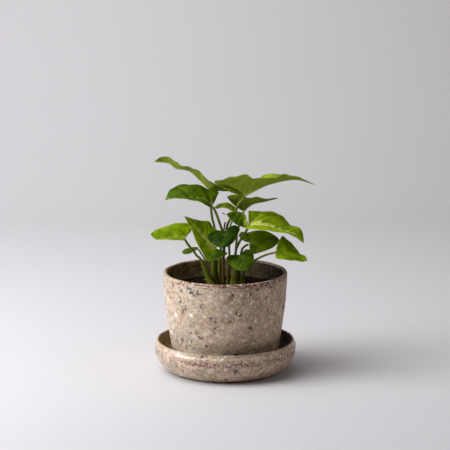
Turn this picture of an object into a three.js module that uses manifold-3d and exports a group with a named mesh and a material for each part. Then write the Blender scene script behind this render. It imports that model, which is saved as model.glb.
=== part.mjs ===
// A young arrowhead plant in a speckled pot that stands on its saucer.
// Millimetres, +Z up. The origin is the middle of the saucer's flat underside, and the
// plant's open side, where most leaves turn their faces, looks along -Y.
import * as THREE from "three";
import { mergeVertices } from "three/addons/utils/BufferGeometryUtils.js";
import Module from "manifold-3d";

const wasm = await Module();
wasm.setup();

// ---- driving dimensions ----------------------------------------------------------------
const GAP = 0.3; // clearance between pieces that touch
const ROUND_STEPS = 44; // facets around the pot, saucer and soil

const SAUCER = {
  foot: 50, // radius of the flat it stands on
  wide: 71.3, // greatest radius, at the shoulder
  shoulder: 24,
  height: 31.2,
  floor: 6.2,
  floorWide: 45,
  lip: 1.1, // radius of the rounded edge
  leansIn: 1.8, // by how much the rim is narrower than the shoulder
};
const POT = {
  foot: 33, // radius of the flat it stands on
  standsAt: SAUCER.floor + GAP,
  corner: 22, // radius of the round corner between foot and side
  belly: 55, // radius where the corner ends and the side begins
  rim: 62.3,
  top: 100.7,
  wall: 3.6,
  lip: 1.4,
  drain: 6,
  easing: 1.6, // power by which the side leans out ever less
};
const SOIL = { edge: 83, middle: 84.6 };
const BLADE = { thick: 0.8, alongLobe: 4, alongMain: 11, across: 3, swell: 0.06 };
const STALK = { sides: 8, steps: 16, clasp: 0.45, taper: 0.7 }; // clasp: share of a stalk that is sheath

const COLOURS = {
  pot: 0xb9a58f,
  saucer: 0xb5a088,
  soil: 0x17130f,
  blade: 0x3f7d1c,
  stalk: 0x6f7a2c,
  dry: 0x6b4a2a,
};

// Each blade is two half blades that meet on the midrib, which runs from the stalk's end to
// the tip. A half is bounded by its lobe, from the stalk's end round behind it, and then by
// its margin, forward beside the midrib to the tip. Left and right are seen from above,
// looking towards the tip. A stalk's route runs from its foot in the soil up to its blade.
// Points are x, y, z, with a smooth curve through them.
const LEAVES = {
  top_left: {
    midrib: [
      [-16, 16, 182], [-25.5, 18, 191], [-34.5, 20, 199], [-41.5, 21, 201], [-49.5, 22, 202],
      [-57.5, 23, 207], [-72, 24, 208],
    ],
    left: {
      lobe: [[-10.5, 11, 184], [-2.5, 9, 183], [6, 8, 181.5], [-0.5, 5, 185], [-8.5, 4, 188.5]],
      margin: [
        [-14.5, 5, 192.5], [-21.5, 6, 196.5], [-26, 8, 201], [-34.5, 11, 204.5], [-43.5, 12, 206],
        [-49, 14, 209.5], [-55.5, 16, 213.5], [-64.5, 20, 213.5],
      ],
    },
    right: {
      lobe: [[-13, 21, 182], [-8.5, 24, 182], [-12.5, 27, 184]],
      margin: [
        [-17.5, 29, 187.5], [-26.5, 31, 194.5], [-35.5, 32, 199.5], [-43.5, 32, 201.5],
        [-52, 31, 206], [-63, 28, 210.5],
      ],
    },
    stalk: {
      thin: 1.25,
      thick: 2.4,
      route: [
        [-10.5, 9, 74], [-10.5, 9, 100], [-10, 10, 125.5], [-11, 10, 143.5], [-13, 11, 151.5],
        [-14.5, 15, 162.5], [-15, 17, 171], [-16, 16, 181],
      ],
    },
  },
  top_right: {
    midrib: [
      [19, 2, 177.5], [29.5, 0, 183.5], [42, -2, 189.5], [58.5, -4, 194], [72.5, -5, 195],
      [89, -6, 190],
    ],
    left: {
      lobe: [[14.5, 7, 182], [4.5, 13, 184], [-6.5, 17, 187], [2.5, 22, 189]],
      margin: [
        [15, 24, 191], [26, 24, 190], [37, 22, 192.5], [46, 18, 197], [55, 12, 196],
        [66.5, 5, 197],
      ],
    },
    right: {
      lobe: [[10.5, 0, 183.5], [0.5, -3, 186.5], [-11, -4, 192], [-1.5, -10, 196.5]],
      margin: [
        [12, -14, 200], [20.5, -17, 201.5], [28.5, -17, 198.5], [39, -15, 198.5], [51, -13, 199.5],
        [63, -11, 201], [76.5, -8, 196.5],
      ],
    },
    stalk: {
      thin: 1.3,
      thick: 2.4,
      route: [
        [-3, 11, 74], [-2.5, 11, 100], [-0.5, 10, 129.5], [2, 8, 145.5], [5, 7, 152.5],
        [10, 5, 160.5], [13.5, 3, 169], [17, 2, 173], [19, 2, 176],
      ],
    },
  },
  upper_left: {
    midrib: [
      [-13.5, 0, 168], [-21, -2, 173.5], [-31, -4, 175.5], [-43, -5, 177], [-53, -6, 176.5],
      [-60, -6, 174.5],
    ],
    left: {
      lobe: [[-13.5, -5, 168], [-15, -12, 168.5]],
      margin: [
        [-19, -18, 171.5], [-26, -20, 175], [-35, -20, 176.5], [-45, -16, 177.5], [-53, -11, 177],
      ],
    },
    right: {
      lobe: [[-12, 4, 170.5], [-8.5, 8, 177], [-6.5, 11, 180.5], [-12.5, 12, 182]],
      margin: [
        [-18, 12, 182.5], [-24.5, 13, 185.5], [-34.5, 12, 187.5], [-44.5, 10, 187],
        [-51.5, 6, 185], [-57, 0, 180.5],
      ],
    },
    stalk: {
      thin: 1.3,
      thick: 2.2,
      route: [
        [-6.5, 5.5, 74], [-6, 5.5, 100], [-4.5, 4, 123.5], [-3, 3, 139], [-5, 2, 147.5],
        [-10.5, 0, 163], [-13.5, 0, 166.5],
      ],
    },
  },
  little_arched: {
    midrib: [[12, 11, 158], [5.5, 11, 163.5], [-0.5, 12, 165.5], [-6.5, 13, 165], [-11, 13, 163.5]],
    left: {
      lobe: [[10, 9, 159]],
      margin: [[6.5, 6, 161], [1.5, 6, 163.5], [-3.5, 7, 164], [-8, 9, 162.5]],
    },
    right: {
      lobe: [[11.5, 14, 161]],
      margin: [[9.5, 16, 163.5], [5, 17, 166.5], [0.5, 18, 167.5], [-6, 17, 166.5]],
    },
    stalk: {
      thin: 0.85,
      thick: 1.3,
      route: [
        [3, 13.5, 74], [3.5, 13.5, 100], [4.5, 14.5, 129.5], [5, 14, 144], [8.5, 13, 151.5],
        [12, 11, 156.5],
      ],
    },
  },
  upper_right: {
    midrib: [
      [18.5, 14, 159.5], [22.5, 15, 163.5], [29, 16, 167], [39, 18, 168.5], [53.5, 20, 171.5],
    ],
    left: {
      lobe: [[18.5, 20, 162], [15, 25, 165.5], [12, 27, 168.5], [15, 28, 169.5]],
      margin: [[21, 28, 169], [27, 27, 169.5], [35, 25, 169.5], [43, 23, 170.5]],
    },
    right: {
      lobe: [[16.5, 11, 163], [10, 8, 169], [2, 6, 174.5], [5, 5, 177.5], [10.5, 4.5, 178]],
      margin: [
        [17.5, 5.5, 176.5], [24.5, 6.5, 174.5], [33, 9, 174.5], [41, 13, 173], [48, 17, 172.5],
      ],
    },
    stalk: {
      thin: 1.15,
      thick: 1.9,
      route: [
        [8, 10, 74], [8.5, 10, 100], [11, 12, 124], [12, 13, 137], [14.5, 14, 147], [17, 14, 155],
        [18.5, 14, 158.5],
      ],
    },
  },
  right: {
    midrib: [
      [23.5, -8, 148.5], [30.5, -9, 150], [39.5, -10, 149.5], [48.5, -11, 147], [58.5, -12, 144],
      [67.5, -13, 141.5], [78, -14, 132.5],
    ],
    left: {
      lobe: [[27, -2, 152.5], [26, 4, 156.5], [23.5, 9, 160.5]],
      margin: [
        [27.5, 10, 160], [37, 11, 160], [46.5, 10, 160.5], [54, 8, 157], [62, 4, 151],
        [65.5, 1, 148], [71.5, -2, 147], [76.5, -7, 143.5], [78, -11, 137],
      ],
    },
    right: {
      lobe: [
        [22, -9, 152.5], [20.5, -6, 158.5], [15.5, -4, 162], [7.5, -3, 162.5], [1.5, -5, 160],
        [5, -9, 156], [10, -12, 151.5],
      ],
      margin: [
        [18.5, -15, 148], [26.5, -19, 148], [36.5, -23, 147], [46, -25, 146], [56, -25, 145],
        [65, -23, 142.5], [72.5, -19, 137],
      ],
    },
    stalk: {
      thin: 1.25,
      thick: 2.5,
      route: [
        [8.5, 4, 74], [9, 3.5, 100], [10.5, 0, 120.5], [13, -3, 129], [17, -6, 137],
        [20.5, -8, 143], [23, -8.5, 147.5],
      ],
    },
  },
  lower_right: {
    midrib: [[24.5, 2, 130], [33, 2, 131.5], [43, 2, 132], [55, 3, 131]],
    left: {
      lobe: [[20, 5, 131.5], [15.5, 7, 132.5], [13.5, 8.5, 136], [16.5, 11, 139]],
      margin: [[22, 13, 138], [30, 13, 139.5], [38, 12, 140], [45, 10, 138.5], [51.5, 7, 134.5]],
    },
    right: {
      lobe: [[24, -2, 126], [25.5, -6, 121.5]],
      margin: [[28.5, -8, 120], [34.5, -10, 122], [41.5, -9, 124], [48.5, -5, 126.5]],
    },
    stalk: {
      thin: 1.15,
      thick: 1.9,
      route: [
        [14, 4, 74], [14, 4, 96], [14.5, 3, 106], [16.5, 1.5, 121.5], [19.5, 1, 126],
        [23.5, 1.5, 128],
      ],
    },
  },
  far_right: {
    midrib: [[51, -14, 124], [59.5, -16, 122.5], [70.5, -18, 119], [81.5, -20, 116]],
    left: {
      lobe: [[52.5, -9, 127], [54.5, -4, 132.5]],
      margin: [
        [57.5, -1, 137], [62, -2, 133.5], [66.5, -4, 130], [72, -8, 124.5], [74.5, -12, 121.5],
        [79.5, -17, 120],
      ],
    },
    right: {
      lobe: [[50, -17, 122]],
      margin: [[50, -20, 119], [55, -23, 118], [63, -24, 117.5], [71, -23, 116.5], [77, -21, 115]],
    },
    stalk: {
      thin: 1.05,
      thick: 2.2,
      route: [
        [17.5, -1, 74], [18, -1, 98], [24, -6, 109.5], [31.5, -9, 115], [40.5, -12, 120],
        [50, -14, 123],
      ],
    },
  },
  far_left: {
    midrib: [
      [-40.5, -6, 135.5], [-49, -8, 136], [-59, -10, 137], [-68, -12, 138.5], [-74.5, -12, 141],
    ],
    left: {
      lobe: [[-38.5, -10, 135.5]],
      margin: [
        [-40, -17, 136], [-48, -22, 137.5], [-57.5, -23, 137.5], [-66.5, -21, 137],
        [-72, -17, 139],
      ],
    },
    right: {
      lobe: [[-38, -2, 139], [-34, 3, 141.5], [-33.5, 8, 145.5]],
      margin: [
        [-38.5, 10, 147.5], [-46.5, 9, 148.5], [-55, 7, 147], [-63.5, 3, 145], [-70.5, -4, 143.5],
      ],
    },
    stalk: {
      thin: 1.2,
      thick: 2.6,
      wide: 1.6,
      clasp: 0.6,
      route: [
        [-11, -10, 74], [-11.5, -9.5, 84], [-16, -8.5, 93], [-24, -6.5, 113], [-28.5, -4.5, 117.5],
        [-32, -4, 122.5], [-36.5, -5, 128], [-40.5, -6, 134.5],
      ],
    },
  },
  left: {
    midrib: [
      [-11, -22, 129], [-19, -20, 136], [-27.5, -17, 146], [-35, -13, 153.5], [-41, -10, 159],
    ],
    left: {
      lobe: [[-6, -24, 128], [2, -27, 124.5], [-4.5, -29, 121], [-10.5, -30, 118.5]],
      margin: [
        [-17.5, -29, 117.5], [-22, -28, 124.5], [-26.5, -27, 132], [-30, -25, 139.5],
        [-33.5, -21, 147], [-37.5, -15, 153.5],
      ],
    },
    right: {
      lobe: [[-6.5, -20, 130.5], [-1.5, -17, 133], [-0.5, -13, 138.5], [-5.5, -9, 143]],
      margin: [
        [-12, -5, 147], [-16, -2, 151.5], [-22, -2, 152.5], [-26.5, -4, 153.5], [-33.5, -7, 156.5],
      ],
    },
    stalk: {
      thin: 1.4,
      thick: 3.2,
      wide: 1.6,
      clasp: 0.9,
      route: [
        [-7, -1, 74], [-7.5, -2, 86], [-10.5, -6, 97], [-11, -14.5, 119.5], [-11, -21.5, 128],
      ],
    },
  },
  middle: {
    midrib: [[0.5, -12, 144.5], [-1, -22, 140.5], [-2.5, -30, 136], [-3.5, -35, 132]],
    left: {
      lobe: [[3.5, -8, 146.5], [7.5, -5, 149], [12, -5, 148]],
      margin: [
        [14.5, -9, 145.5], [12.5, -16, 142], [10.5, -23, 138.5], [7, -29, 135.5], [2, -33, 133],
      ],
    },
    right: {
      lobe: [[-3, -13, 145], [-7.5, -15, 145], [-13.5, -18, 144.5]],
      margin: [[-18.5, -22, 141], [-16, -26, 136.5], [-12, -30, 134.5], [-7.5, -33, 132.5]],
    },
    stalk: {
      thin: 1.2,
      thick: 2.2,
      route: [
        [2.5, -0.5, 74], [2.5, -1, 88], [3.5, -3, 100], [4, -5, 123.5], [2, -7, 134],
        [0.5, -11.5, 143.5],
      ],
    },
  },
  front: {
    midrib: [[15.5, -23, 121.5], [17.5, -29, 117.5], [19.5, -34, 113], [21, -38, 109]],
    left: {
      lobe: [[17.5, -20, 124], [20, -17, 126.5], [24, -16, 126.5]],
      margin: [[27, -18, 124.5], [28.5, -23, 120.5], [27.5, -29, 115.5], [25, -34, 111.5]],
    },
    right: {
      lobe: [[12.5, -20, 120.5], [5.5, -18, 121]],
      margin: [[1, -20, 119], [2.5, -25, 116], [6.5, -30, 112.5], [12.5, -35, 109.5]],
    },
    stalk: {
      thin: 1.3,
      thick: 3.4,
      wide: 1.8,
      clasp: 0.95,
      route: [
        [9.5, -6.5, 74], [9.5, -6.5, 86], [10.5, -8, 96], [13.5, -15, 113.5], [15.5, -22, 120],
      ],
    },
  },
  little_left: {
    midrib: [[-27, 7, 122.5], [-33.5, 8, 121], [-38.5, 9, 119], [-44, 9, 118]],
    left: {
      lobe: [[-28, 5, 121.5]],
      margin: [[-31.5, 4.5, 120], [-36.5, 5, 117.5], [-41, 7, 116.5]],
    },
    right: {
      lobe: [[-27.5, 9, 123.5]],
      margin: [[-31.5, 11, 123], [-37, 12, 122], [-41.5, 11.5, 120.5]],
    },
    stalk: {
      thin: 0.8,
      thick: 1.4,
      route: [
        [-14.5, 7, 74], [-14.5, 7, 85], [-16, 7, 96], [-21, 7, 111.5], [-25, 7, 118.5],
        [-27, 7, 121.5],
      ],
    },
  },
};
const DRY_STALK = {
  thin: 0.8,
  thick: 1.1,
  route: [
    [-1.5, 4, 74], [-1.5, 4, 90], [-1.5, 4, 100], [-2, 7.5, 131], [-1, 7, 144.5], [0, 7, 149.5],
  ],
};

// ---- curves and solids -----------------------------------------------------------------
const smooth = (points) =>
  new THREE.CatmullRomCurve3(
    points.map((p) => (p.isVector3 ? p : new THREE.Vector3(...p))),
    false,
    "catmullrom",
    0.5,
  );

// A closed mesh from points and triangles, with coinciding points joined.
function solidFrom(points, triangles) {
  const geometry = new THREE.BufferGeometry();
  geometry.setAttribute("position", new THREE.Float32BufferAttribute(points.flat(), 3));
  geometry.setIndex(triangles.flat());
  return mergeVertices(geometry, 1e-4);
}

// A tube along a smooth route, capped at both ends. At the share u of its length it is an
// ellipse, across(u) to either side and deep(u) from front to back.
function tube(route, across, deep, steps, sides) {
  const curve = smooth(route);
  const points = [];
  const triangles = [];
  const ring = (i, j) => i * sides + (j % sides);
  for (let i = 0; i <= steps; i++) {
    const centre = curve.getPointAt(i / steps);
    const along = curve.getTangentAt(i / steps);
    const sideways = along.clone().cross(new THREE.Vector3(0, 1, 0)).normalize();
    const behind = along.clone().cross(sideways);
    for (let j = 0; j < sides; j++) {
      const turn = (2 * Math.PI * j) / sides;
      const p = centre
        .clone()
        .addScaledVector(sideways, across(i / steps) * Math.cos(turn))
        .addScaledVector(behind, deep(i / steps) * Math.sin(turn));
      points.push(p.toArray());
    }
  }
  for (let i = 0; i < steps; i++) {
    for (let j = 0; j < sides; j++) {
      triangles.push([ring(i, j), ring(i, j + 1), ring(i + 1, j + 1)]);
      triangles.push([ring(i, j), ring(i + 1, j + 1), ring(i + 1, j)]);
    }
  }
  for (let j = 1; j + 1 < sides; j++) {
    triangles.push([ring(0, 0), ring(0, j + 1), ring(0, j)]);
    triangles.push([ring(steps, 0), ring(steps, j), ring(steps, j + 1)]);
  }
  return solidFrom(points, triangles);
}

// A leaf stalk swells towards its foot, where it is a sheath that clasps the shoot. The
// sheath is `wide` times as wide as it is thick. `extra` makes the same shape larger all
// round, for the hole it stands in.
function stalkTube({ thin, thick, wide = 1, clasp = STALK.clasp, route }, extra = 0) {
  const sheath = (u) => Math.max(0, 1 - u / clasp) ** STALK.taper;
  const deep = (u) => extra + thin + (thick - thin) * sheath(u);
  const across = (u) => extra + thin + (thick * wide - thin) * sheath(u);
  return tube(route, across, deep, STALK.steps, STALK.sides);
}

// The rows of one half blade, each from the midrib out to the margin. Between them the
// blade swells a little on the side that `upper` (1 or -1) picks.
function halfRows(midrib, half, upper) {
  const outline = [...half.lobe, ...half.margin, midrib.at(-1)];
  const edge = smooth(outline);
  const rib = smooth(midrib);
  const lobeShare = half.lobe.length / (outline.length - 1);
  const rows = [];
  for (let i = 0; i <= BLADE.alongLobe + BLADE.alongMain; i++) {
    const behind = Math.min(1, i / BLADE.alongLobe);
    const ahead = Math.max(0, (i - BLADE.alongLobe) / BLADE.alongMain);
    const share = lobeShare * behind + (1 - lobeShare) * ahead;
    const inner = rib.getPoint(ahead);
    const across = edge.getPoint(share).sub(inner);
    const out = edge.getTangent(share).cross(across).normalize();
    const row = [];
    for (let j = 0; j <= BLADE.across; j++) {
      const v = j / BLADE.across;
      const rise = upper * BLADE.swell * across.length() * 4 * v * (1 - v);
      row.push(inner.clone().addScaledVector(across, v).addScaledVector(out, rise));
    }
    rows.push(row);
  }
  return rows;
}

// A sheet of triangles made into a solid of even thickness: each corner is offset to both
// sides along its normal, and the free edges are walled.
function thicken(corners, triangles, thickness) {
  const normals = corners.map(() => new THREE.Vector3());
  for (const [a, b, c] of triangles) {
    const ab = corners[b].clone().sub(corners[a]);
    const ac = corners[c].clone().sub(corners[a]);
    const facing = ab.cross(ac);
    for (const k of [a, b, c]) normals[k].add(facing);
  }
  const points = [];
  for (const side of [0.5, -0.5]) {
    corners.forEach((p, k) => {
      const offset = normals[k].clone().normalize();
      points.push(p.clone().addScaledVector(offset, side * thickness).toArray());
    });
  }
  const below = corners.length;
  const faces = triangles.flatMap(([a, b, c]) => [
    [a, b, c],
    [a + below, c + below, b + below],
  ]);
  const edges = triangles.flatMap(([a, b, c]) => [`${a} ${b}`, `${b} ${c}`, `${c} ${a}`]);
  const known = new Set(edges);
  for (const edge of edges) {
    const [a, b] = edge.split(" ").map(Number);
    if (known.has(`${b} ${a}`)) continue;
    faces.push([b, a, a + below]);
    faces.push([b, a + below, b + below]);
  }
  return solidFrom(points, faces);
}

// A whole blade: the corners that its two halves share are one corner.
function bladeSolid({ midrib, left, right }) {
  const corners = [];
  const seen = new Map();
  const cornerAt = (p) => {
    const key = p.toArray().map((v) => v.toFixed(3)).join();
    if (!seen.has(key)) seen.set(key, corners.push(p) - 1);
    return seen.get(key);
  };
  const triangles = [];
  const addTriangle = (a, b, c) => {
    if (a !== b && b !== c && c !== a) triangles.push([a, b, c]);
  };
  for (const [half, upper] of [
    [left, 1],
    [right, -1],
  ]) {
    const rows = halfRows(midrib, half, upper).map((row) => row.map(cornerAt));
    for (let i = 0; i + 1 < rows.length; i++) {
      for (let j = 0; j < BLADE.across; j++) {
        const quad = [rows[i][j], rows[i + 1][j], rows[i + 1][j + 1], rows[i][j + 1]];
        if (upper < 0) quad.reverse();
        addTriangle(quad[0], quad[1], quad[2]);
        addTriangle(quad[0], quad[2], quad[3]);
      }
    }
  }
  return thicken(corners, triangles, BLADE.thick);
}

// A turned solid from a closed profile of [radius, height] points.
function turned(profile) {
  const points = profile.map(([r, z]) => new THREE.Vector2(r, z));
  const lathe = new THREE.LatheGeometry(points, ROUND_STEPS);
  lathe.rotateX(Math.PI / 2);
  lathe.deleteAttribute("uv");
  lathe.deleteAttribute("normal");
  return mergeVertices(lathe, 1e-4);
}

// Points of an elliptical arc about [r, z], from one angle to another in degrees, with 0
// straight out and 90 straight up.
function arc([r, z], wide, high, from, to, steps) {
  return Array.from({ length: steps + 1 }, (_, i) => {
    const turn = THREE.MathUtils.degToRad(from + ((to - from) * i) / steps);
    return [r + wide * Math.cos(turn), z + high * Math.sin(turn)];
  });
}

// ---- pot, saucer and soil --------------------------------------------------------------
// The pot's side at a depth `inset` inside its outer face, from the foot's round corner up
// to the height `top`: above the corner it leans out, ever less towards the rim.
function potSide(inset, top) {
  const cornerTop = POT.standsAt + POT.corner;
  const corner = arc([POT.foot, cornerTop], POT.corner - inset, POT.corner - inset, -90, 0, 6);
  const rise = POT.top - POT.lip - cornerTop;
  const steps = 6;
  for (let i = 1; i <= steps; i++) {
    const z = cornerTop + ((top - cornerTop) * i) / steps;
    const below = Math.max(0, (POT.top - POT.lip - z) / rise);
    corner.push([POT.rim - (POT.rim - POT.belly) * below ** POT.easing - inset, z]);
  }
  return corner;
}

function potSolid() {
  const lipAt = POT.top - POT.lip;
  const lipOut = arc([POT.rim - POT.lip, lipAt], POT.lip, POT.lip, 0, 90, 2);
  const lipIn = arc([POT.rim - POT.wall + POT.lip, lipAt], POT.lip, POT.lip, 90, 180, 2);
  return turned([
    [POT.drain, POT.standsAt],
    ...potSide(0, lipAt),
    ...lipOut.slice(1),
    ...lipIn,
    ...potSide(POT.wall, lipAt).reverse().slice(1),
    [POT.drain, POT.standsAt + POT.wall],
    [POT.drain, POT.standsAt],
  ]);
}

function saucerSolid() {
  const { foot, wide, shoulder, height, floor, floorWide, lip, leansIn } = SAUCER;
  const lipAt = height - lip;
  const edge = wide - leansIn;
  return turned([
    [0, 0],
    ...arc([foot, shoulder], wide - foot, shoulder, -90, 0, 7),
    ...arc([edge - lip, lipAt], lip, lip, 20, 160, 3),
    ...arc([floorWide, lipAt], edge - 2 * lip - floorWide, lipAt - floor, 0, -90, 7),
    [0, floor],
  ]);
}

function soilSolid(stalks) {
  const side = potSide(POT.wall + GAP, SOIL.edge);
  const reach = side.at(-1)[0];
  const crown = [0.75, 0.5, 0.25, 0].map((share) => [
    share * reach,
    SOIL.middle - (SOIL.middle - SOIL.edge) * share ** 2,
  ]);
  const solidOf = (geometry) => {
    const { position } = geometry.attributes;
    return new wasm.Manifold(
      new wasm.Mesh({
        numProp: 3,
        vertProperties: new Float32Array(position.array),
        triVerts: new Uint32Array(geometry.index.array),
      }),
    );
  };
  const bed = solidOf(turned([[0, side[0][1]], ...side, ...crown]));
  const cut = stalks.reduce(
    (rest, stalk) => rest.subtract(solidOf(stalkTube(sunkBy(stalk, GAP), GAP))),
    bed,
  );
  const { vertProperties, triVerts } = cut.getMesh();
  return solidFrom([...vertProperties], [...triVerts]);
}

// The same stalk with its foot a little deeper.
function sunkBy(stalk, depth) {
  const [[x, y, z], ...rest] = stalk.route;
  return { ...stalk, route: [[x, y, z - depth], ...rest] };
}

// ---- the object ------------------------------------------------------------------------
const plant = new THREE.Group();

function addPiece(name, geometry, color, roughness) {
  const material = new THREE.MeshStandardMaterial({ color, roughness, metalness: 0 });
  const mesh = new THREE.Mesh(geometry, material);
  mesh.name = name;
  plant.add(mesh);
}

addPiece("saucer", saucerSolid(), COLOURS.saucer, 0.55);
addPiece("pot", potSolid(), COLOURS.pot, 0.55);
const stalks = [...Object.values(LEAVES).map((leaf) => leaf.stalk), DRY_STALK];
addPiece("soil", soilSolid(stalks), COLOURS.soil, 0.95);
for (const [name, leaf] of Object.entries(LEAVES)) {
  addPiece(`${name}_blade`, bladeSolid(leaf), COLOURS.blade, 0.45);
  addPiece(`${name}_stalk`, stalkTube(leaf.stalk), COLOURS.stalk, 0.5);
}
addPiece("dry_stalk", stalkTube(DRY_STALK), COLOURS.dry, 0.8);

export default plant;
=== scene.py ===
"""A young arrowhead plant in a speckled stoneware pot that stands on its deep saucer.

Lengths are millimetres in the frame's own axes, +Z up and -Y towards the viewer, until
`new_piece` turns them into metres.
"""

import math
from functools import partialmethod

import bpy
import numpy as np
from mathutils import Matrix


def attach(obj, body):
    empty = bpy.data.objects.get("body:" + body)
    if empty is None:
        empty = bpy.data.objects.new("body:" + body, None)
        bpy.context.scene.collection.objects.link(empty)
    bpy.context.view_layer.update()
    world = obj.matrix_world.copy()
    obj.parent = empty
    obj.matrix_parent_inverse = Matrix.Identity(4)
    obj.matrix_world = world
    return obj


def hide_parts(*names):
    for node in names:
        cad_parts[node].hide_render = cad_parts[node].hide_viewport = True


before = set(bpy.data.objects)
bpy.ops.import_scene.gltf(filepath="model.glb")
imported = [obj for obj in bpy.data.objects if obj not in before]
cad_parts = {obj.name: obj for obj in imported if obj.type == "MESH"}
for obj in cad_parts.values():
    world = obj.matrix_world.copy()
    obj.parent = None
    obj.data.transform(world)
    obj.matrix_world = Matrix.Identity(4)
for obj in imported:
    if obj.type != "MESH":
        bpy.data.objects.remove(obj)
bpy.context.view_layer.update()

MM = 0.001

# ---- sizes -----------------------------------------------------------------------------
POT_FOOT = 33  # radius of the flat the pot stands on
POT_STANDS_AT = 6.5
POT_CORNER = 22  # radius of the round corner between foot and side
POT_BELLY = 55  # radius where the corner ends and the side begins
POT_RIM = 62.3
POT_TOP = 100.7
POT_WALL = 3.6
POT_LIP = 1.4
POT_DRAIN = 6
POT_EASING = 1.6  # how quickly the side straightens towards the rim
SAUCER_FOOT = 50
SAUCER_WIDE = 71.3
SAUCER_SHOULDER = 24
SAUCER_HEIGHT = 31.2
SAUCER_FLOOR = 6.2
SAUCER_FLOOR_WIDE = 45
SAUCER_LIP = 1.1
SAUCER_LEANS_IN = 1.8
SOIL_EDGE = 83
SOIL_MIDDLE = 84.6
SOIL_GAP = 0.3  # between the soil and the pot
SOIL_REACH = 58  # radius of its top
CRUMBS_REACH = 56.5
CRUMBS = 1500
TURNED_STEPS = 256  # cells around the pot and the saucer
SOIL_STEPS = 180

BLADE_THICK = 0.45
BLADE_SWELL = 0.06  # how far a half blade bows up, as a share of its width
PUCKER = 0.3  # height of the swellings between the side veins
KEEL, KEEL_WIDE = 0.85, 1.1  # height of the keel, as a share of the stalk, and its width
GROOVE, GROOVE_WIDE = 0.2, 0.6  # the groove above the midrib
LOBE_ROWS = 26
MAIN_ROWS = 90
HALF_COLUMNS = 26
VEIN_SPACING = 7.5  # between side veins, measured along the midrib
VEIN_SLANT = 0.75  # how far a side vein runs forward for each millimetre outwards
VEIN_BEND = 0.012  # and how much more so towards the margin
FLAT_UNIT = 100.0  # millimetres of a flattened blade to one unit of its UV map
STALK_RINGS, STALK_SIDES = 84, 28
STALK_TAPER = 0.7
CLASP = 0.45  # share of a stalk that is sheath

SKIN = ("Colour", "Roughness", "Height")  # what the groups for stoneware and leaves give

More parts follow.
